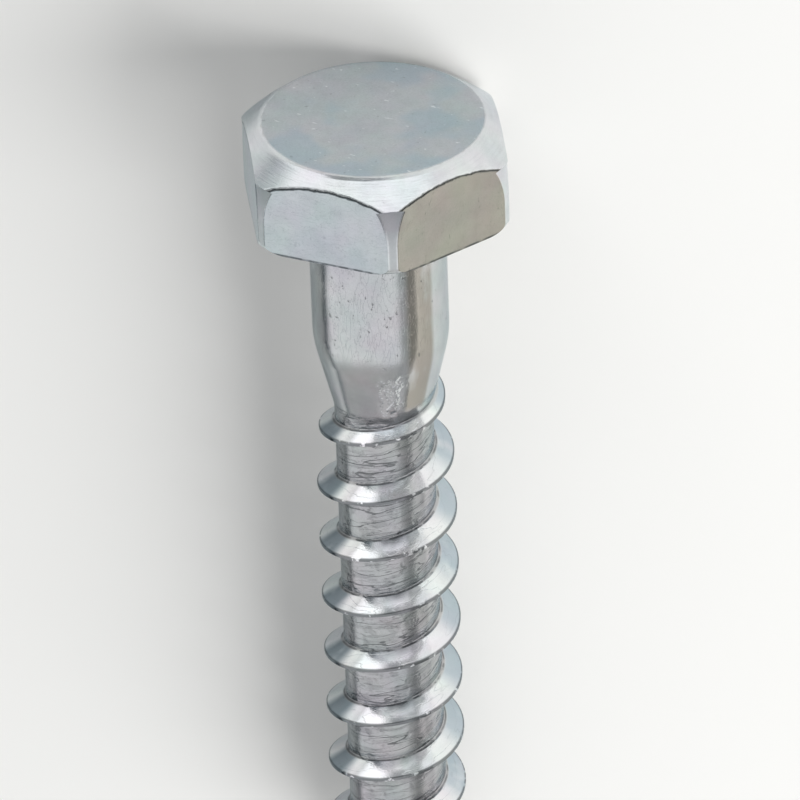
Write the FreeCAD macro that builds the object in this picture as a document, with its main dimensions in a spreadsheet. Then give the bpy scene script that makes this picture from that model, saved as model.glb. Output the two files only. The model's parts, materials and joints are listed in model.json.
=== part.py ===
import FreeCAD, Part
import Sketcher
import math
import os

# A hexagon head lag screw with its coarse wood thread, lying on a table as it comes to rest.
# Millimetres. The screw is drawn upright: the bearing face of the head is z = 0, the shank
# goes down. The last step lays it over on one flat of the head and on its thread.

SIZES = [
    ("across_flats", 17.0),
    ("head_height", 6.7),
    ("corner_radius", 9.6),
    ("corner_round", 0.6),
    ("shoulder_start", 2.4),
    ("shoulder_end", 4.8),
    ("shoulder_radius", 9.3),
    ("shoulder_arc", 11.4),
    ("lip_overhang", 0.3),
    ("lip_undercut", 0.25),
    ("top_disc_margin", 0.9),
    ("top_disc_round", 1.0),
    ("under_head_chamfer", 0.5),
    ("shank_radius", 4.68),
    ("taper_start", 10.26),
    ("taper_end", 15.7),
    ("taper_top_round", 8.0),
    ("taper_foot_round", 4.0),
    ("core_radius", 3.4),
    ("point_length", 9.5),
    ("point_end_radius", 0.22),
    ("screw_length", 60.0),
    ("thread_pitch", 4.6),
    ("thread_radius", 4.8),
    ("thread_angle", 60.0),
    ("thread_land", 0.2),
    ("thread_root_cover", 0.45),
    ("runout_start", 12.9),
    ("runout_end", 21.5),
    ("runout_rise", 0.95),
    ("runout_power", 1.56),
    ("thread_azimuth", -114.0),
    ("upper_flat_azimuth", -60.0),
    ("last_full_crest", 49.6),
    ("thread_stop", 59.2),
]

POINTS_PER_TURN = 12
FIRST_ROW = 2


def fill_sheet(sheet):
    """Write the sizes as plain numbers, each with its own alias."""
    for row, (alias, value) in enumerate(SIZES, start=FIRST_ROW):
        sheet.set("A%d" % row, alias)
        sheet.set("B%d" % row, "%g" % value)
        sheet.setAlias("B%d" % row, alias)


def origin_plane(body, role):
    """The body's own origin plane with this role."""
    for feature in body.Origin.OriginFeatures:
        if feature.Role == role:
            return feature
    raise ValueError("no origin plane " + role)


def new_sketch(body, name, role):
    """An empty sketch on one of the body's origin planes."""
    sketch = body.newObject("Sketcher::SketchObject", name)
    sketch.AttachmentSupport = [(origin_plane(body, role), "")]
    sketch.MapMode = "FlatFace"
    return sketch


def arc_between(start, end, radius, turn):
    """The short arc of this radius from start to end; turn is 1 anticlockwise, -1 clockwise."""
    chord = end.sub(start)
    middle = (start + end).multiply(0.5)
    normal = FreeCAD.Vector(-chord.y, chord.x, 0).normalize()
    centre = middle + normal.multiply(turn * math.sqrt(radius ** 2 - (chord.Length / 2) ** 2))
    first, last = (start, end) if turn > 0 else (end, start)
    angles = [math.atan2(p.y - centre.y, p.x - centre.x) for p in (first, last)]
    if angles[1] < angles[0]:
        angles[1] += 2 * math.pi
    circle = Part.Circle(centre, FreeCAD.Vector(0, 0, 1), radius)
    return Part.ArcOfCircle(circle, angles[0], angles[1])


def draw_profile(sketch, corners, arcs):
    """Draw a closed profile. Each corner is a pair of expressions, bound to its position.

    arcs maps the index of a side to its radius expression and its turn; other sides are lines.
    """
    places = []
    for across, up in corners:
        x = float(sketch.evalExpression(across))
        y = float(sketch.evalExpression(up))
        places.append(FreeCAD.Vector(x, y, 0))
    ends = []
    for side, start in enumerate(places):
        end = places[(side + 1) % len(places)]
        if side in arcs:
            expression, turn = arcs[side]
            radius = float(sketch.evalExpression(expression))
            index = sketch.addGeometry(arc_between(start, end, radius, turn), False)
            name = sketch.addConstraint(Sketcher.Constraint("Radius", index, radius))
            sketch.setExpression("Constraints[%d]" % name, expression)
            ends.append((index, 1, 2) if turn > 0 else (index, 2, 1))
        else:
            index = sketch.addGeometry(Part.LineSegment(start, end), False)
            ends.append((index, 1, 2))
    for side, (index, first, last) in enumerate(ends):
        following = ends[(side + 1) % len(ends)]
        sketch.addConstraint(Sketcher.Constraint("Coincident", index, last, following[0], following[1]))
        for kind, place, expression in (
            ("DistanceX", places[side].x, corners[side][0]),
            ("DistanceY", places[side].y, corners[side][1]),
        ):
            name = sketch.addConstraint(Sketcher.Constraint(kind, -1, 1, index, first, place))
            sketch.setExpression("Constraints[%d]" % name, expression)


def draw_hexagon(sketch, corner_expression):
    """A regular hexagon about the origin with one corner on the x axis."""
    radius = float(sketch.evalExpression(corner_expression))
    places = []
    for corner in range(6):
        angle = math.radians(60 * corner)
        places.append(FreeCAD.Vector(radius * math.cos(angle), radius * math.sin(angle), 0))
    for corner in range(6):
        sketch.addGeometry(Part.LineSegment(places[corner], places[(corner + 1) % 6]), False)
    ring = sketch.addGeometry(Part.Circle(FreeCAD.Vector(), FreeCAD.Vector(0, 0, 1), radius), True)
    sketch.addConstraint(Sketcher.Constraint("Coincident", ring, 3, -1, 1))
    name = sketch.addConstraint(Sketcher.Constraint("Radius", ring, radius))
    sketch.setExpression("Constraints[%d]" % name, corner_expression)
    for corner in range(6):
        sketch.addConstraint(Sketcher.Constraint("Coincident", corner, 2, (corner + 1) % 6, 1))
        sketch.addConstraint(Sketcher.Constraint("PointOnObject", corner, 1, ring))
    for corner in range(1, 6):
        sketch.addConstraint(Sketcher.Constraint("Equal", 0, corner))
    sketch.addConstraint(Sketcher.Constraint("PointOnObject", 0, 1, -1))


def circle_edge(shape, radius, height):
    """The name of the full circle edge with this radius at this height."""
    for number, edge in enumerate(shape.Edges, start=1):
        curve = edge.Curve
        if curve.TypeId != "Part::GeomCircle":
            continue
        if abs(curve.Radius - radius) < 1e-4 and abs(curve.Center.z - height) < 1e-4:
            return "Edge%d" % number
    raise ValueError("no circle edge of radius %g at height %g" % (radius, height))


def dress_edge(body, kind, name, place, size):
    """Fillet or chamfer one circular edge of the body, by a size bound to the sheet.

    place is the edge's radius and height, size is the property and its expression.
    """
    base = body.Tip
    feature = body.newObject("PartDesign::" + kind, name)
    feature.Base = (base, [circle_edge(base.Shape, *place)])
    feature.setExpression(*size)
    body.Tip = feature
    body.Document.recompute()


def build_blank(document):
    """The forged blank: trimmed hexagon head, plain shank, taper, rolled core and point."""
    body = document.addObject("PartDesign::Body", "blank")
    size = document.getObject("Sizes")

    outline = new_sketch(body, "head_outline", "XY_Plane")
    draw_hexagon(outline, "Sizes.across_flats / sqrt(3)")
    head = body.newObject("PartDesign::Pad", "head")
    head.Profile = outline
    head.setExpression("Length", "Sizes.head_height")
    document.recompute()
    prism_volume = head.Shape.Volume

    margin = "Sizes.corner_radius + 2"
    disc = "Sizes.across_flats / 2 - Sizes.top_disc_margin"
    trim = new_sketch(body, "head_trim_profile", "XZ_Plane")
    draw_profile(
        trim,
        [
            ("Sizes.corner_radius - Sizes.corner_round", "0"),
            ("Sizes.corner_radius", "Sizes.corner_round"),
            ("Sizes.corner_radius", "Sizes.shoulder_start"),
            ("Sizes.shoulder_radius", "Sizes.shoulder_end"),
            ("Sizes.shoulder_radius + Sizes.lip_overhang", "Sizes.shoulder_end + Sizes.lip_undercut"),
            (disc, "Sizes.head_height"),
            (disc, "Sizes.head_height + 1"),
            (margin, "Sizes.head_height + 1"),
            (margin, "-1"),
            ("Sizes.corner_radius - Sizes.corner_round", "-1"),
        ],
        {0: ("Sizes.corner_round", 1), 2: ("Sizes.shoulder_arc", 1)},
    )
    groove = body.newObject("PartDesign::Groove", "head_trim")
    groove.Profile = trim
    groove.ReferenceAxis = (trim, ["V_Axis"])
    groove.Angle = 360
    document.recompute()
    if not groove.Shape.Volume < prism_volume - 1:
        raise ValueError("the trim takes nothing off the head")
    place = (size.across_flats / 2 - size.top_disc_margin, size.head_height)
    dress_edge(body, "Fillet", "top_disc_edge", place, ("Radius", "Sizes.top_disc_round"))

    angle = "atan((Sizes.shank_radius - Sizes.core_radius) / (Sizes.taper_end - Sizes.taper_start))"
    top = "(Sizes.taper_top_round * tan(%s / 2))" % angle
    foot = "(Sizes.taper_foot_round * tan(%s / 2))" % angle
    shank = new_sketch(body, "shank_profile", "XZ_Plane")
    draw_profile(
        shank,
        [
            ("0", "1"),
            ("0", "-Sizes.screw_length"),
            ("Sizes.point_end_radius", "-Sizes.screw_length + Sizes.point_end_radius"),
            ("Sizes.core_radius", "-Sizes.screw_length + Sizes.point_length"),
            ("Sizes.core_radius", "-Sizes.taper_end - %s" % foot),
            (
                "Sizes.core_radius + %s * sin(%s)" % (foot, angle),
                "-Sizes.taper_end + %s * cos(%s)" % (foot, angle),
            ),
            (
                "Sizes.shank_radius - %s * sin(%s)" % (top, angle),
                "-Sizes.taper_start - %s * cos(%s)" % (top, angle),
            ),
            ("Sizes.shank_radius", "-Sizes.taper_start + %s" % top),
            ("Sizes.shank_radius", "1"),
        ],
        {4: ("Sizes.taper_foot_round", -1), 6: ("Sizes.taper_top_round", 1)},
    )
    turned = body.newObject("PartDesign::Revolution", "shank")
    turned.Profile = shank
    turned.ReferenceAxis = (shank, ["V_Axis"])
    turned.Angle = 360
    document.recompute()
    place = (size.shank_radius, 0.0)
    dress_edge(body, "Chamfer", "under_head", place, ("Size", "Sizes.under_head_chamfer"))
    return body


def surface_radius(size, depth):
    """Radius of the blank at this depth below the bearing face, with its corners sharp."""
    if depth < size.taper_start:
        return size.shank_radius
    if depth < size.taper_end:
        share = (depth - size.taper_start) / (size.taper_end - size.taper_start)
        return size.shank_radius + share * (size.core_radius - size.shank_radius)
    point_start = size.screw_length - size.point_length
    if depth < point_start:
        return size.core_radius
    share = (depth - point_start) / size.point_length
    return size.core_radius * (1 - share)


def crest_radius(size, depth):
    """Radius of the thread's crest: it rises out of the taper and follows the point down."""
    radius = size.thread_radius
    if depth < size.runout_end:
        left = (size.runout_end - depth) / (size.runout_end - size.runout_start)
        radius -= size.runout_rise * left ** size.runout_power
    if depth > size.last_full_crest:
        share = (depth - size.last_full_crest) / (size.thread_stop - size.last_full_crest)
        radius -= (size.thread_radius - 0.05) * share ** 1.25
    return radius


def thread_rows(size):
    """Four rows of points along the thread: root and crest above, crest and root below."""
    turns = (size.thread_stop - size.runout_start) / size.thread_pitch
    count = int(round(turns * POINTS_PER_TURN))
    slope = math.tan(math.radians(size.thread_angle / 2))
    rows = [[], [], [], []]
    for step in range(count + 1):
        turn = turns * step / count
        depth = size.runout_start + size.thread_pitch * turn
        crest = crest_radius(size, depth)
        widest = size.thread_land / 2 + slope * (size.thread_radius - size.core_radius)
        nearest = min(surface_radius(size, depth - widest), surface_radius(size, depth + widest))
        root = min(nearest - size.thread_root_cover, crest - 0.3)
        root = max(root, 0.35 * crest)
        half_land = size.thread_land / 2
        half_root = half_land + slope * (crest - root)
        azimuth = math.radians(size.thread_azimuth - 360 * turn)
        for row, radius, rise in (
            (0, root, half_root),
            (1, crest, half_land),
            (2, crest, -half_land),
            (3, root, -half_root),
        ):
            x = radius * math.sin(azimuth)
            y = -radius * math.cos(azimuth)
            rows[row].append(FreeCAD.Vector(x, y, rise - depth))
    return rows


def build_thread(document, size):
    """The rolled thread as one closed ridge, sunk a little into the core."""
    rows = thread_rows(size)
    curves = []
    for points in rows:
        curve = Part.BSplineCurve()
        curve.interpolate(Points=points, Parameters=[float(i) for i in range(len(points))])
        curves.append(curve)
    last = len(rows[0]) - 1
    cuts = list(range(0, last - POINTS_PER_TURN // 2, POINTS_PER_TURN)) + [last]
    faces = []
    for start, end in zip(cuts, cuts[1:]):
        edges = [curve.toShape(float(start), float(end)) for curve in curves]
        for side in range(4):
            faces.append(Part.makeRuledSurface(edges[side], edges[(side + 1) % 4]))
    for end in (0, -1):
        ring = [row[end] for row in rows]
        faces.append(Part.Face(Part.makePolygon(ring + ring[:1])))
    shell = Part.makeShell(faces)
    shell.sewShape()
    solid = Part.makeSolid(shell)
    if solid.Volume < 0:
        solid.reverse()
    thread = document.addObject("Part::Feature", "thread")
    thread.Shape = solid
    return thread


def rest_rotation(size):
    """Lay the screw over: a flat of the head and the thread touch the table, head to -X."""
    down = math.radians(size.upper_flat_azimuth + 180)
    toward = FreeCAD.Vector(math.sin(down), -math.cos(down), 0)
    flat = size.across_flats / 2
    rows = thread_rows(size)
    lean = min(math.atan2(flat - point.dot(toward), -point.z) for point in rows[1] + rows[2])
    roll = FreeCAD.Rotation(FreeCAD.Vector(0, 0, 1), 90 - size.upper_flat_azimuth)
    over = FreeCAD.Rotation(FreeCAD.Vector(0, 1, 0), math.degrees(lean) - 90)
    return over.multiply(roll)


def main():
    document = FreeCAD.newDocument("lag_screw")
    sheet = document.addObject("Spreadsheet::Sheet", "Sizes")
    fill_sheet(sheet)
    document.recompute()
    blank = build_blank(document)
    thread = build_thread(document, sheet)
    screw = document.addObject("Part::Fuse", "lag_screw")
    screw.Label = "lag_screw"
    screw.Base = blank
    screw.Tool = thread
    screw.Refine = False
    document.recompute()
    screw.Placement = FreeCAD.Placement(FreeCAD.Vector(), rest_rotation(sheet))
    box = screw.Shape.optimalBoundingBox(False)
    screw.Placement.Base = FreeCAD.Vector(-box.Center.x, -box.Center.y, -box.ZMin)
    document.recompute()
    for item in document.Objects:
        if "Invalid" in item.State or "Error" in item.State:
            raise ValueError("%s is not sound: %s" % (item.Name, item.State))
    shape = screw.Shape
    if shape.isNull() or not shape.isValid() or len(shape.Solids) != 1:
        raise ValueError("the screw is not one valid solid")
    if not shape.Volume > blank.Shape.Volume:
        raise ValueError("the thread adds nothing to the blank")
    os.makedirs("parts", exist_ok=True)
    shape.exportStep("parts/lag_screw.step")
    print("volume mm3 %.1f, box %s" % (shape.Volume, shape.optimalBoundingBox(False)))
    print("placement %s" % screw.Placement)


main()
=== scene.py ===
import json
import math

import bmesh
import bpy
from mathutils import Euler, Matrix, Vector

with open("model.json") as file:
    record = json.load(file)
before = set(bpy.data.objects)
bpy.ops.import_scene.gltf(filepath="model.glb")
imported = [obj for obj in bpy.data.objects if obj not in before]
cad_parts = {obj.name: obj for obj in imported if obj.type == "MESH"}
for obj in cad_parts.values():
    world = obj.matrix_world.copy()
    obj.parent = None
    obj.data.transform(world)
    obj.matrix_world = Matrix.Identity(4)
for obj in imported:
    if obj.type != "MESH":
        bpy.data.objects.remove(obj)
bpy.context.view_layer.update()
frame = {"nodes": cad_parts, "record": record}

bl_info = {
    "name": "Lag screw",
    "version": (1, 0, 0),
    "blender": (4, 5, 0),
    "location": "3D View > Sidebar > Lag screw",
    "description": "A zinc plated lag screw on a pale table, with its studio",
    "category": "Object",
}

SCREW = frame["nodes"]["lag_screw"]
MOUNTS = {mount["name"]: mount for mount in frame["record"]["mounts"]}

# The screw's own axes: z out of the head's top, y out of the flat that faces up. They start at
# the head's bearing face, which lies DRIVE_HEIGHT metres below the mount.
DRIVE = Vector(MOUNTS["hex_drive"]["pos_m"])
AXIS = Vector(MOUNTS["hex_drive"]["axis"]).normalized()
SIDE = Vector((0.0, -1.0, 0.0))
UP = AXIS.cross(SIDE).normalized()
TURN = Matrix((SIDE, UP, AXIS)).transposed()
DRIVE_HEIGHT = 0.003
FACE = DRIVE - AXIS * DRIVE_HEIGHT

# One millimetre in metres.
MM = 0.001

# Real sizes in millimetres that the finish follows. CHAMFER_SLOPE is the fall of the chamfer per
# millimetre outwards, and CREST_PHASE shifts the place along the thread to its crests.
HEAD_HEIGHT = 6.7
DISC_RADIUS = 7.6
CHAMFER_SLOPE = 0.825
CORE_RADIUS = 3.4
PITCH = 4.6
CREST_PHASE = 12.21
SHANK_RADIUS = 4.68
TAPER_TOP = -10.26
TAPER_FOOT = -15.7

# How far the rim of the chamfer strays in millimetres, and its waves per millimetre.
RAGGED = 0.3
RAGGED_SCALE = 1.7

# Turns of the head's three pairs of flats in degrees, and the pair with the flat painted darker and
# browner as a painted reflection.
FLAT_TURNS = (0, 60, 120)
PAINTED_REFLECTION_PAIR = 1

# The studio's fixed values: width of the camera's sensor in millimetres, nearest distance it
# sees in metres, sides of the round table and roughness of its paint.
SENSOR_WIDTH = 36.0
NEAREST = 0.01
TABLE_SIDES = 96
TABLE_ROUGHNESS = 0.9


def linear(colour):
    """An sRGB hex colour as linear red, green, blue and alpha."""
    parts = [int(colour[i:i + 2], 16) / 255 for i in (1, 3, 5)]
    return tuple(
        part / 12.92 if part <= 0.04045 else ((part + 0.055) / 1.055) ** 2.4 for part in parts
    ) + (1.0,)


def add(tree, kind, links=(), **settings):
    """Add a node with its settings, its fixed values and its links, and return it."""
    node = tree.nodes.new(kind)
    for name, value in settings.items():
        setattr(node, name, value)
    for socket, value in dict(links).items():
        if isinstance(value, bpy.types.NodeSocket):
            tree.links.new(value, node.inputs[socket])
        else:
            node.inputs[socket].default_value = value
    return node


class StudioSizes(bpy.types.PropertyGroup):
    """Camera, table and lamp of the studio."""

    lens: bpy.props.FloatProperty(
        name="Lens", description="Focal length of the camera on a 36 mm sensor, in millimetres",
        default=399.5, min=20.0)
    location: bpy.props.FloatVectorProperty(
        name="Camera place", description="Where the camera stands",
        subtype="TRANSLATION", unit="LENGTH", default=(-0.298654, 0.210246, 0.500440))
    turn: bpy.props.FloatVectorProperty(
        name="Camera turn", description="How the camera is turned",
        subtype="EULER", unit="ROTATION",
        default=tuple(math.radians(angle) for angle in (-28.231, 23.001, 90.0615)))
    floor_radius: bpy.props.FloatProperty(
        name="Floor radius", description="Radius of the pale table", default=3.0, unit="LENGTH")
    floor_colour: bpy.props.StringProperty(
        name="Floor colour", description="Colour of the table, as an sRGB hex value",
        default="#F1F0ED")
    lamp_place: bpy.props.FloatVectorProperty(
        name="Lamp place", description="Where the soft lamp hangs",
        subtype="TRANSLATION", unit="LENGTH", default=(0.05, 0.66, 0.34))
    lamp_side: bpy.props.FloatProperty(
        name="Lamp side", description="Side of the square soft lamp", default=0.5, unit="LENGTH")
    lamp_power: bpy.props.FloatProperty(
        name="Lamp power", description="Power of the soft lamp in watts", default=8.3, min=0.0)


class FinishSizes(bpy.types.PropertyGroup):
    """Colours of the plated steel and of the reflections, shade and highlight painted on it, as sRGB hex
    values.
    """

    shank: bpy.props.StringProperty(
        name="Shank", description="Plain shank and neck, plated as rolled", default="#D1D3D4")
    flat: bpy.props.StringProperty(
        name="Flats", description="Sheared flats of the head", default="#CED4D8")
    # Painted reflection: one flat painted darker and browner, standing for a brown surround that it
    # mirrors.
    painted_reflection_flat: bpy.props.StringProperty(
        name="Flat with painted reflection", description="Flat painted darker and browner, a painted reflection of a brown surround", default="#A7A49B")
    disc: bpy.props.StringProperty(
        name="Head top", description="Pitted top of the head", default="#BFC4C7")
    chamfer: bpy.props.StringProperty(
        name="Chamfer", description="Chamfer of the head, turned bright by the die", default="#E4E7E9")
    flank: bpy.props.StringProperty(
        name="Flanks", description="Flanks of the thread, burnished by the rolls", default="#F8FAFB")
    root: bpy.props.StringProperty(
        name="Thread root", description="Rolled root between the threads", default="#C6C6C7")
    # Painted reflection: a brown stripe down the shank, standing for a brown surround that it mirrors.
    painted_brown_reflection: bpy.props.StringProperty(
        name="Brown reflection stripe", description="Stripe of the shank painted brown, a painted reflection of a brown surround",
        default="#93897A")
    # Bluish tint: real blotches on the head top, and painted reflection on the thread's flanks.
    blue: bpy.props.StringProperty(
        name="Blue tint and reflection", description="Blue tint of blotches on the head top, and painted reflection on the thread's flanks", default="#98B0BF")
    # Laps, pits and cracks, and also painted shade and painted dark reflections.
    dark_laps_and_painted_shade: bpy.props.StringProperty(
        name="Laps", description="Laps, pits, cracks, the edge of the crest, painted shade and painted dark reflections", default="#31383C")
    edge: bpy.props.StringProperty(
        name="Grazing tint", description="What the plate reflects at a grazing angle", default="#E0E7EA")
    # Rubbed rims and nicks, and also the painted highlight on the neck.
    bright: bpy.props.StringProperty(
        name="Bright rims", description="Rims and nicks rubbed bare of their matt skin, and the painted highlight on the neck",
        default="#F6F8F9")


# Soft steps that bound the regions: what is read, where the step starts and where it is full.
STEPS_OF = {
    "off axis": ("radius", 8.3, 8.45),
    "disc height": ("z", 6.5, 6.64),
    "disc reach": ("radius", 7.62, 7.42),
    "on chamfer": ("drop", -0.02, -0.08),
    "on flat": ("across", 8.4, 8.48),
    "off flat": ("across", 8.49, 8.45),
    "beside flat": ("across", 8.48, 8.4),
    "below chamfer": ("drop", -0.08, 0.0),
    "right flat": ("right", 8.4, 8.48),
    "below neck": ("z", -11.0, -12.0),
    "threaded": ("z", -14.6, -16.0),
    "on root": ("radius", 3.62, 3.5),
    "off root": ("radius", 3.5, 3.62),
    "off neck": ("clear", 0.12, 0.3),
    "foot start": ("radius", 3.43, 3.49),
    "foot end": ("radius", 3.62, 3.53),
    "crest": ("phase", 0.04, 0.024),
    "head foot": ("z", 0.2, 0.1),
    "head start": ("z", -0.02, 0.02),
    "on shank": ("z", -0.1, -0.5),
    "above neck": ("z", -11.0, -10.0),
    "slim": ("radius", 5.0, 4.9),
    # Sides of the dark reflection painted on the left, by azimuth.
    "dark reflection start": ("azimuth", -0.33, -0.62),
    "dark reflection end": ("azimuth", -1.2, -0.9),
    # Sides of the brown stripe painted on as a reflection.
    "brown reflection start": ("azimuth", 0.75, 0.88),
    "brown reflection end": ("azimuth", 1.32, 1.22),
    # Start of the bluish reflection painted on the right of the flanks.
    "bluish reflection start": ("azimuth", 1.35, 1.8),
    "below disc": ("z", 6.0, 5.7),
    # This and the next three steps bound the painted shade where the root rounds into the flank.
    "painted fillet shade": ("radius", 4.4, 3.5),
    "second turn": ("z", -18.0, -20.0),
    "left of brown reflection": ("azimuth", 0.9, 0.55),
    "right of dark reflection": ("azimuth", 0.17, 0.36),
    # Bounds of the painted highlight on the front of the neck; its lower end also bounds the brown
    # stripe.
    "patch top": ("z", -10.9, -11.9),
    "patch end": ("z", -15.2, -14.2),
    "patch left": ("azimuth", 0.24, 0.42),
    "patch right": ("azimuth", 0.88, 0.64),
}

# Regions of the screw, each the product of its steps.
MASKS = {
    "flats": ("on flat", "below chamfer"),
    # The flat painted darker and browner as a painted reflection.
    "painted_reflection_flat": ("right flat", "below chamfer"),
    "rim": ("on flat", "off flat", "below chamfer"),
    "corner": ("off axis", "beside flat", "below chamfer"),
    "disc": ("disc height", "disc reach"),
    "turned": ("on chamfer",),
    "lip": ("off axis",),
    "root": ("threaded", "on root"),
    "flanks": ("below neck", "off neck", "off root"),
    "foot": ("threaded", "foot start", "foot end"),
    "crest": ("below neck", "off neck", "crest"),
    "foot edge": ("off axis", "head foot", "head start"),
    "shank": ("on shank", "above neck", "slim"),
    # Painted reflection: the dark band on the left, and its dark bluish tail on the flanks.
    "painted_dark_reflection": ("dark reflection start", "dark reflection end", "slim", "below disc"),
    "dark reflection flanks": ("dark reflection start", "dark reflection end", "below neck", "off neck", "off root"),
    "painted_brown_reflection": ("brown reflection start", "brown reflection end", "on shank", "patch end"),
    "blue": ("bluish reflection start", "below neck", "off neck", "off root"),
    # Painted shade near the root at the front, painted shade on the root beside the brown stripe, and a
    # painted highlight on the neck.
    "painted fillet shade": ("second turn", "off root", "painted fillet shade", "left of brown reflection", "right of dark reflection"),
    "root painted shade": ("threaded", "on root", "brown reflection start", "brown reflection end"),
    "patch": ("patch top", "patch end", "patch left", "patch right"),
}

# Roughness of the shank and neck, whose finish lies under all the others.
SHANK_ROUGHNESS = 0.17

# Finish of each region: mask, colour and roughness, each laid over the ones before.
REGIONS = [
    ("flats", "flat", 0.24),
    # Painted reflection: that flat painted darker and browner.
    ("painted_reflection_flat", "painted_reflection_flat", 0.26),
    ("corner", "chamfer", 0.42),
    ("rim", "bright", 0.2),
    ("turned", "chamfer", 0.2),
    ("disc", "disc", 0.32),
    ("root", "root", 0.24),
    ("flanks", "flank", 0.13),
]

# Marks: mask, space, stretch of the noise per millimetre, its detail, whether it is a spot or a
# line, where the noise starts and fills a mark, its depth in millimetres, its colour and share.
# A mark of depth 0 only tints. It is kept out of the bump, because a long chain of heights is
# more than one shader holds and turns the metal black.
# Besides the marks of the plate and steel, some marks paint reflections, shade or a highlight; each says
# so above it.
MARKS = [
    ("", "own", (8.0, 8.0, 8.0), 2.0, "spot", 0.25, 0.75, 0.0012, "dark_laps_and_painted_shade", 0.05),
    # Painted reflection: the left of the flanks painted dark and bluish, standing for a dark surround
    # that they mirror.
    ("dark reflection flanks", "own", (0.5, 0.5, 0.3), 2.0, "spot", 0.1, 0.5, 0.0, "blue", 0.7),
    # Painted reflection: the left of the shank, neck, root and flanks painted darker, standing for a
    # dark surround that they mirror.
    ("painted_dark_reflection", "own", (0.5, 0.5, 0.3), 2.0, "spot", 0.1, 0.5, 0.0, "dark_laps_and_painted_shade", 0.58),
    # Painted reflection: the brown stripe down the shank and neck.
    ("painted_brown_reflection", "own", (0.8, 0.8, 0.3), 2.0, "spot", 0.1, 0.5, 0.0, "painted_brown_reflection", 0.7),
    # Painted reflection: the right of the flanks painted bluish grey.
    ("blue", "own", (0.5, 0.5, 0.5), 2.0, "spot", 0.1, 0.5, 0.0, "blue", 0.6),
    # Painted shade: the flanks darkened near the root at the front, where the root rounds into them.
    ("painted fillet shade", "helix", (1.0, 0.2, 0.2), 2.0, "spot", 0.2, 0.6, 0.0, "dark_laps_and_painted_shade", 0.72),
    # Painted shade: the root darkened beside the brown stripe.
    ("root painted shade", "own", (0.5, 0.5, 0.5), 2.0, "spot", 0.1, 0.5, 0.0, "dark_laps_and_painted_shade", 0.25),
    ("shank", "own", (0.6, 0.6, 0.35), 1.0, "spot", 0.2, 0.8, 0.016, "dark_laps_and_painted_shade", 0.0),
    ("shank", "own", (2.6, 2.6, 1.7), 2.0, "spot", 0.68, 0.73, 0.02, "dark_laps_and_painted_shade", 0.35),
    ("shank", "own", (3.5, 3.5, 0.9), 3.0, "line", 0.012, 0.003, 0.002, "dark_laps_and_painted_shade", 0.05),
    ("disc", "own", (0.22, 0.22, 0.22), 2.0, "spot", 0.42, 0.58, 0.0, "blue", 0.42),
    ("disc", "own", (9.0, 9.0, 9.0), 1.0, "spot", 0.4, 0.7, 0.003, "dark_laps_and_painted_shade", 0.08),
    ("disc", "own", (2.4, 2.4, 2.4), 3.0, "spot", 0.66, 0.74, 0.012, "dark_laps_and_painted_shade", 0.3),
    ("disc", "own", (1.5, 3.4, 2.0), 3.0, "spot", 0.68, 0.73, -0.008, "bright", 0.5),
    ("flats", "own", (3.0, 3.0, 2.2), 3.0, "spot", 0.62, 0.76, 0.005, "dark_laps_and_painted_shade", 0.1),
    ("flats", "own", (1.2, 1.2, 2.6), 3.0, "line", 0.006, 0.002, 0.001, "dark_laps_and_painted_shade", 0.04),
    ("turned", "turn", (8.0, 0.5, 0.5), 3.0, "spot", 0.42, 0.72, 0.003, "dark_laps_and_painted_shade", 0.06),
    ("root", "helix", (3.0, 0.1, 0.1), 3.0, "line", 0.008, 0.002, 0.016, "dark_laps_and_painted_shade", 0.45),
    ("root", "helix", (7.0, 0.25, 0.25), 2.0, "line", 0.005, 0.002, 0.007, "dark_laps_and_painted_shade", 0.15),
    ("root", "helix", (16.0, 0.5, 0.5), 3.0, "spot", 0.45, 0.7, 0.008, "dark_laps_and_painted_shade", 0.2),
    ("root", "own", (1.2, 1.2, 1.2), 2.0, "spot", 0.5, 0.72, 0.02, "dark_laps_and_painted_shade", 0.2),
    ("flanks", "helix", (10.0, 0.3, 0.3), 2.0, "line", 0.01, 0.003, 0.003, "dark_laps_and_painted_shade", 0.12),
    ("foot", "own", (1.2, 1.2, 1.2), 3.0, "spot", 0.4, 0.5, 0.01, "dark_laps_and_painted_shade", 0.5),
    # Painted shade: a dark line along the lower rim of the head's sides.
    ("foot edge", "own", (1.2, 1.2, 1.2), 2.0, "spot", 0.2, 0.6, 0.0, "dark_laps_and_painted_shade", 0.8),
    ("crest", "own", (1.8, 1.8, 1.8), 3.0, "spot", 0.32, 0.42, 0.0, "dark_laps_and_painted_shade", 0.75),
    ("crest", "own", (1.4, 1.4, 1.4), 4.0, "spot", 0.67, 0.74, 0.01, "bright", 0.7),
    # Painted highlight over real crinkles: a brighter patch on the front of the neck.
    ("patch", "own", (1.5, 1.5, 1.0), 3.0, "spot", 0.35, 0.65, 0.08, "bright", 0.6),
]

# The ragged lip under the chamfer: where below the cone it starts, peaks and ends in millimetres,
# its height in millimetres, its colour and share.
LIP = [
    (-0.07, -0.02, 0.04, 0.03, "bright", 0.5),
    # Painted shade: the dark line under the lip.
    (0.0, 0.06, 0.2, -0.05, "dark_laps_and_painted_shade", 1.0),
]

# Cloudy tone of the plating, in patches of about 4 mm, 3 mm and 1 mm: waves of the noise per
# millimetre, and the tints of its dark and its light end.
CLOUDS = [
    (0.25, (0.92, 0.93, 0.95), (1.06, 1.05, 1.03)),
    (0.37, (1.03, 0.98, 1.01), (0.97, 1.02, 0.99)),
    (0.9, (0.96, 0.96, 0.96), (1.04, 1.04, 1.04)),
]
CLOUD_LOW = (0.3, 0.3, 0.3)
CLOUD_HIGH = (0.7, 0.7, 0.7)


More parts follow.
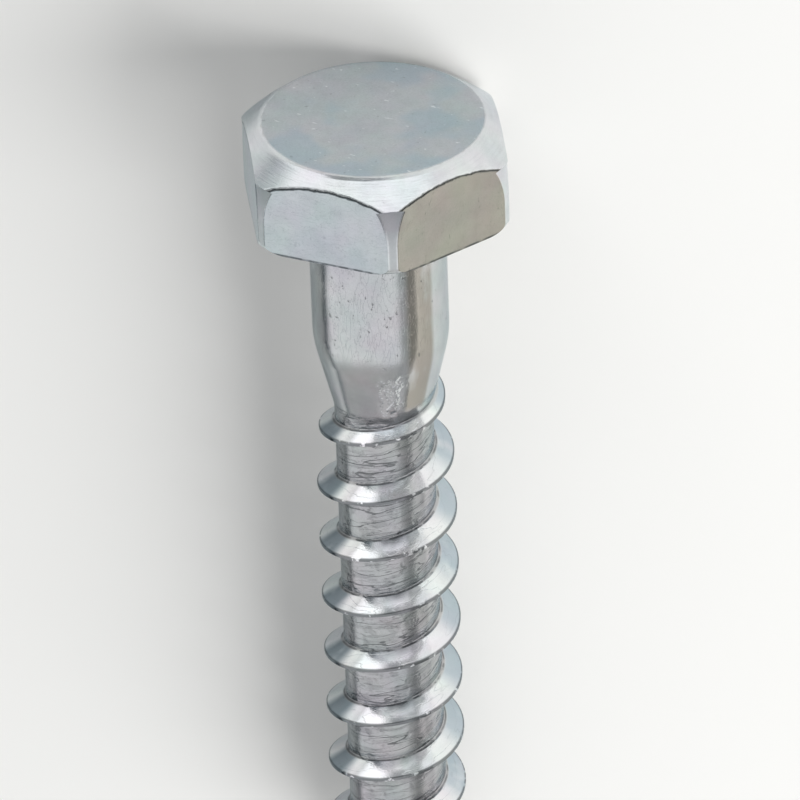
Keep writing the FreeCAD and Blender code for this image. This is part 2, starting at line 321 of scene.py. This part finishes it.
def plated_steel(sizes):
    """Bright zinc plate over forged and rolled steel: a soft mirror, grey in its pits and laps, with
    painted reflections, painted shade and a painted highlight laid on by position.

    A Mix node takes its two colours at sockets 6 and 7 and its two numbers at 2 and 3. A
    vector range takes its ends at sockets 7 to 10.
    """
    material = bpy.data.materials.new("bright_zinc_plate_on_rolled_steel")
    material.use_nodes = True
    tree = material.node_tree
    tree.nodes.clear()
    here = add(tree, "ShaderNodeTexCoord").outputs["Object"]
    own = add(tree, "ShaderNodeMapping", {
        "Vector": here, "Location": FACE, "Rotation": TURN.to_euler(), "Scale": (MM, MM, MM),
    }, vector_type="TEXTURE").outputs[0]
    xyz = add(tree, "ShaderNodeSeparateXYZ", {0: own}).outputs
    level = add(tree, "ShaderNodeCombineXYZ", {0: xyz[0], 1: xyz[1]}).outputs[0]
    radius = add(tree, "ShaderNodeVectorMath", {0: level}, operation="LENGTH").outputs["Value"]
    left = add(tree, "ShaderNodeMath", {0: xyz[0], 1: -1.0}, operation="MULTIPLY").outputs[0]
    azimuth = add(tree, "ShaderNodeMath", {0: left, 1: xyz[1]}, operation="ARCTAN2").outputs[0]

    # How far a point lies below the chamfer's cone, whose rim is ragged, and how far it stands
    # out of the neck's cone.
    ragged = add(tree, "ShaderNodeTexNoise", {
        "Vector": own, "Scale": RAGGED_SCALE, "Detail": 3.0,
    }).outputs[0]
    ragged = add(tree, "ShaderNodeMath", {
        0: ragged, 1: RAGGED, 2: HEAD_HEIGHT + DISC_RADIUS * CHAMFER_SLOPE - RAGGED,
    }, operation="MULTIPLY_ADD").outputs[0]
    cone = add(tree, "ShaderNodeMath", {
        0: radius, 1: -CHAMFER_SLOPE, 2: ragged,
    }, operation="MULTIPLY_ADD").outputs[0]
    drop = add(tree, "ShaderNodeMath", {0: cone, 1: xyz[2]}, operation="SUBTRACT").outputs[0]
    neck = add(tree, "ShaderNodeMapRange", {
        "Value": xyz[2], "From Min": TAPER_TOP, "From Max": TAPER_FOOT,
        "To Min": SHANK_RADIUS, "To Max": CORE_RADIUS,
    }).outputs[0]
    clear = add(tree, "ShaderNodeMath", {0: radius, 1: neck}, operation="SUBTRACT").outputs[0]

    # Place along the thread: whole numbers are its crests.
    wound = add(tree, "ShaderNodeMath", {
        0: azimuth, 1: -PITCH / (2 * math.pi), 2: xyz[2],
    }, operation="MULTIPLY_ADD").outputs[0]
    turns = add(tree, "ShaderNodeMath", {0: wound, 1: CREST_PHASE}, operation="ADD").outputs[0]
    along = add(tree, "ShaderNodeMath", {0: turns, 1: 1 / PITCH}, operation="MULTIPLY").outputs[0]

    # How far a point stands towards each pair of flats, and the furthest of the three.
    reach = [
        add(tree, "ShaderNodeVectorMath", {
            0: own, 1: (-math.sin(math.radians(turn)), math.cos(math.radians(turn)), 0.0),
        }, operation="DOT_PRODUCT").outputs["Value"]
        for turn in FLAT_TURNS
    ]
    across = 0.0
    for value in reach:
        width = add(tree, "ShaderNodeMath", {0: value}, operation="ABSOLUTE").outputs[0]
        across = add(tree, "ShaderNodeMath", {0: width, 1: across}, operation="MAXIMUM").outputs[0]

    phase = add(tree, "ShaderNodeMath", {0: along, 1: 0.5}, operation="PINGPONG").outputs[0]
    read = {"phase": phase, "z": xyz[2], "radius": radius, "azimuth": azimuth, "drop": drop,
            "clear": clear, "across": across, "right": reach[PAINTED_REFLECTION_PAIR]}
    steps = {}
    for name, (source, start, end) in STEPS_OF.items():
        steps[name] = add(tree, "ShaderNodeMapRange", {
            "Value": read[source], "From Min": start, "From Max": end,
        }, interpolation_type="SMOOTHSTEP", label=name).outputs[0]
    masks = {}
    for name, parts in MASKS.items():
        mask = steps[parts[0]]
        for part in parts[1:]:
            mask = add(tree, "ShaderNodeMath", {
                0: mask, 1: steps[part],
            }, operation="MULTIPLY").outputs[0]
        masks[name] = mask

    colour = linear(sizes.shank)
    rough = SHANK_ROUGHNESS
    for name, shade, roughness in REGIONS:
        colour = add(tree, "ShaderNodeMix", {
            "Factor": masks[name], 6: colour, 7: linear(getattr(sizes, shade)),
        }, data_type="RGBA").outputs[2]
        rough = add(tree, "ShaderNodeMix", {
            "Factor": masks[name], 2: rough, 3: roughness,
        }).outputs[0]

    for scale, dark, light in CLOUDS:
        cloud = add(tree, "ShaderNodeTexNoise", {
            "Vector": own, "Scale": scale, "Detail": 2.0,
        }).outputs[0]
        tone = add(tree, "ShaderNodeMapRange", {
            "Vector": cloud, 7: CLOUD_LOW, 8: CLOUD_HIGH, 9: dark, 10: light,
        }, data_type="FLOAT_VECTOR").outputs[1]
        colour = add(tree, "ShaderNodeVectorMath", {
            0: colour, 1: tone,
        }, operation="MULTIPLY").outputs[0]

    # Spaces that the marks are drawn in: the screw's own, along the thread and round the axis.
    helix = add(tree, "ShaderNodeCombineXYZ", {0: along, 1: xyz[0], 2: xyz[1]}).outputs[0]
    turned = add(tree, "ShaderNodeCombineXYZ", {0: radius, 1: xyz[0], 2: xyz[1]}).outputs[0]
    spaces = {"own": own, "helix": helix, "turn": turned}
    height = 0.0
    for name, space, stretch, detail, kind, start, full, depth, shade, share in MARKS:
        scaled = add(tree, "ShaderNodeVectorMath", {
            0: spaces[space], 1: stretch,
        }, operation="MULTIPLY").outputs[0]
        noise = add(tree, "ShaderNodeTexNoise", {
            "Vector": scaled, "Scale": 1.0, "Detail": detail,
        }).outputs[0]
        if kind == "line":
            noise = add(tree, "ShaderNodeMath", {0: noise, 1: 0.5}, operation="SUBTRACT").outputs[0]
            noise = add(tree, "ShaderNodeMath", {0: noise}, operation="ABSOLUTE").outputs[0]
        mark = add(tree, "ShaderNodeMapRange", {
            "Value": noise, "From Min": start, "From Max": full,
        }, interpolation_type="SMOOTHSTEP").outputs[0]
        if name:
            mark = add(tree, "ShaderNodeMath", {
                0: mark, 1: masks[name],
            }, operation="MULTIPLY").outputs[0]
        part = add(tree, "ShaderNodeMath", {0: mark, 1: share}, operation="MULTIPLY").outputs[0]
        colour = add(tree, "ShaderNodeMix", {
            "Factor": part, 6: colour, 7: linear(getattr(sizes, shade)),
        }, data_type="RGBA").outputs[2]
        if depth:
            height = add(tree, "ShaderNodeMath", {
                0: mark, 1: -depth, 2: height,
            }, operation="MULTIPLY_ADD").outputs[0]

    # The lip that the trimming die left under the chamfer, and the dark line in its shade.
    for start, peak, end, rise, shade, share in LIP:
        up, down = (
            add(tree, "ShaderNodeMapRange", {
                "Value": drop, "From Min": bound, "From Max": peak,
            }).outputs[0]
            for bound in (start, end)
        )
        line = add(tree, "ShaderNodeMath", {0: up, 1: down}, operation="MINIMUM").outputs[0]
        line = add(tree, "ShaderNodeMath", {0: line, 1: masks["lip"]}, operation="MULTIPLY").outputs[0]
        height = add(tree, "ShaderNodeMath", {
            0: line, 1: rise, 2: height,
        }, operation="MULTIPLY_ADD").outputs[0]
        part = add(tree, "ShaderNodeMath", {0: line, 1: share}, operation="MULTIPLY").outputs[0]
        colour = add(tree, "ShaderNodeMix", {
            "Factor": part, 6: colour, 7: linear(getattr(sizes, shade)),
        }, data_type="RGBA").outputs[2]

    bump = add(tree, "ShaderNodeBump", {"Height": height, "Distance": MM, "Strength": 1.0}).outputs[0]
    surface = add(tree, "ShaderNodeBsdfPrincipled", {
        "Base Color": colour, "Metallic": 1.0, "Roughness": rough, "Normal": bump,
        "Specular Tint": linear(sizes.edge),
    })
    add(tree, "ShaderNodeOutputMaterial", {"Surface": surface.outputs[0]})
    return material


class OBJECT_OT_screw_finish(bpy.types.Operator):
    """Give the screw its bright zinc plate"""

    bl_idname = "object.screw_finish"
    bl_label = "Screw finish"

    def execute(self, context):
        material = plated_steel(context.scene.screw_finish)
        SCREW.data.materials[0] = material
        return {"FINISHED"}


def pale_table(sizes):
    """Matt painted board: one even pale colour that keeps the screw's shadow."""
    material = bpy.data.materials.new("matt_pale_table")
    material.use_nodes = True
    tree = material.node_tree
    tree.nodes.clear()
    surface = add(tree, "ShaderNodeBsdfPrincipled", {
        "Base Color": linear(sizes.floor_colour), "Roughness": TABLE_ROUGHNESS,
    })
    add(tree, "ShaderNodeOutputMaterial", {"Surface": surface.outputs[0]})
    return material


# Colour of the studio's wall between its panels.
WALL = "#8C8F91"

# Panels on the studio's wall, by azimuth from the upper flat and rise towards the head in
# degrees: name, start and end of the azimuth, start and end of the rise, soft edge, colour, level.
PANELS = [
    ("overhead strip", -79, 57, -44, -20, 5, "#EFF0F2", 1.0),
    ("tip side wall", -79, 57, -88, -45, 5, "#B9B8B8", 1.0),
    ("tip left panel", -104, -66, -90, -66, 3, "#FFFFFF", 1.3),
    ("left low panel", -98, -60, 12, 42, 6, "#B4B8BB", 1.0),
    ("left panel", -98, -20, 42, 68, 5, "#FDFEFF", 1.14),
    ("head side panel", -24, 100, 50, 79, 5, "#FDFEFF", 1.2),
    ("right head panel", 70, 122, 68, 86, 4, "#E6E9EA", 1.0),
    ("left card", -190, -79, -60, 8, 3, "#4F5C62", 1.0),
    ("right card", 58, 190, -85, 0, 6, "#ABADAD", 1.0),
]


def studio_walls():
    """The light of the room by direction: a pale wall with soft panels and dark cards."""
    world = bpy.data.worlds.new("studio")
    world.use_nodes = True
    tree = world.node_tree
    tree.nodes.clear()
    toward = add(tree, "ShaderNodeTexCoord").outputs["Generated"]
    own = [
        add(tree, "ShaderNodeVectorMath", {
            0: toward, 1: axis,
        }, operation="DOT_PRODUCT").outputs["Value"]
        for axis in (-SIDE, UP, AXIS)
    ]
    azimuth = add(tree, "ShaderNodeMath", {0: own[0], 1: own[1]}, operation="ARCTAN2").outputs[0]
    rise = add(tree, "ShaderNodeMath", {0: own[2]}, operation="ARCSINE").outputs[0]
    colour = linear(WALL)
    for name, left, right, low, high, edge, shade, level in PANELS:
        share = 1.0
        sides = ((azimuth, left, 1), (azimuth, right, -1), (rise, low, 1), (rise, high, -1))
        for angle, start, inside in sides:
            side = add(tree, "ShaderNodeMapRange", {
                "Value": angle, "From Min": math.radians(start - inside * edge),
                "From Max": math.radians(start + inside * edge),
            }, interpolation_type="SMOOTHSTEP", label=name).outputs[0]
            share = add(tree, "ShaderNodeMath", {0: side, 1: share}, operation="MULTIPLY").outputs[0]
        colour = add(tree, "ShaderNodeMix", {
            "Factor": share, 6: colour, 7: tuple(part * level for part in linear(shade)),
        }, data_type="RGBA").outputs[2]
    wall = add(tree, "ShaderNodeBackground", {"Color": colour, "Strength": 1.0})
    add(tree, "ShaderNodeOutputWorld", {"Surface": wall.outputs[0]})
    return world


def soft_lamp(name, place, side, power):
    """A square soft lamp that shines at the middle of the screw."""
    light = bpy.data.lights.new(name, "AREA")
    light.shape = "SQUARE"
    light.size = side
    light.energy = power
    lamp = bpy.data.objects.new(name, light)
    lamp.location = place
    lamp.rotation_euler = (-Vector(place)).to_track_quat("-Z", "Y").to_euler()
    lamp.visible_camera = False
    lamp.visible_glossy = False
    bpy.context.scene.collection.objects.link(lamp)


class OBJECT_OT_screw_studio(bpy.types.Operator):
    """Set the pale table, the light and the camera"""

    bl_idname = "object.screw_studio"
    bl_label = "Studio"

    def execute(self, context):
        scene = context.scene
        sizes = scene.screw_studio
        ground = bmesh.new()
        bmesh.ops.create_circle(
            ground, cap_ends=True, segments=TABLE_SIDES, radius=sizes.floor_radius)
        mesh = bpy.data.meshes.new("pale_table")
        ground.to_mesh(mesh)
        ground.free()
        mesh.materials.append(pale_table(sizes))
        table = bpy.data.objects.new("pale_table", mesh)
        scene.collection.objects.link(table)
        scene.world = studio_walls()
        soft_lamp("key_lamp", sizes.lamp_place, sizes.lamp_side, sizes.lamp_power)
        camera = bpy.data.objects.new("camera", bpy.data.cameras.new("camera"))
        camera.data.lens = sizes.lens
        camera.data.sensor_width = SENSOR_WIDTH
        camera.data.clip_start = NEAREST
        camera.location = sizes.location
        camera.rotation_euler = Euler(sizes.turn, "XYZ")
        scene.collection.objects.link(camera)
        scene.camera = camera
        scene.view_settings.view_transform = "Standard"
        return {"FINISHED"}


class VIEW3D_PT_lag_screw(bpy.types.Panel):
    """The steps that dress the screw"""

    bl_label = "Lag screw"
    bl_space_type = "VIEW_3D"
    bl_region_type = "UI"
    bl_category = "Lag screw"

    def draw(self, context):
        layout = self.layout
        for group in (context.scene.screw_finish, context.scene.screw_studio):
            for name in group.__annotations__:
                layout.prop(group, name)
        for step in STEPS:
            layout.operator(step.bl_idname)


STEPS = (OBJECT_OT_screw_finish, OBJECT_OT_screw_studio)
CLASSES = (StudioSizes, FinishSizes) + STEPS + (VIEW3D_PT_lag_screw,)


def register():
    for cls in CLASSES:
        bpy.utils.register_class(cls)
    bpy.types.Scene.screw_studio = bpy.props.PointerProperty(type=StudioSizes)
    bpy.types.Scene.screw_finish = bpy.props.PointerProperty(type=FinishSizes)


def unregister():
    del bpy.types.Scene.screw_finish
    del bpy.types.Scene.screw_studio
    for cls in reversed(CLASSES):
        bpy.utils.unregister_class(cls)


def main():
    register()
    bpy.ops.object.screw_finish()
    bpy.ops.object.screw_studio()


if __name__ == "__main__":
    main()
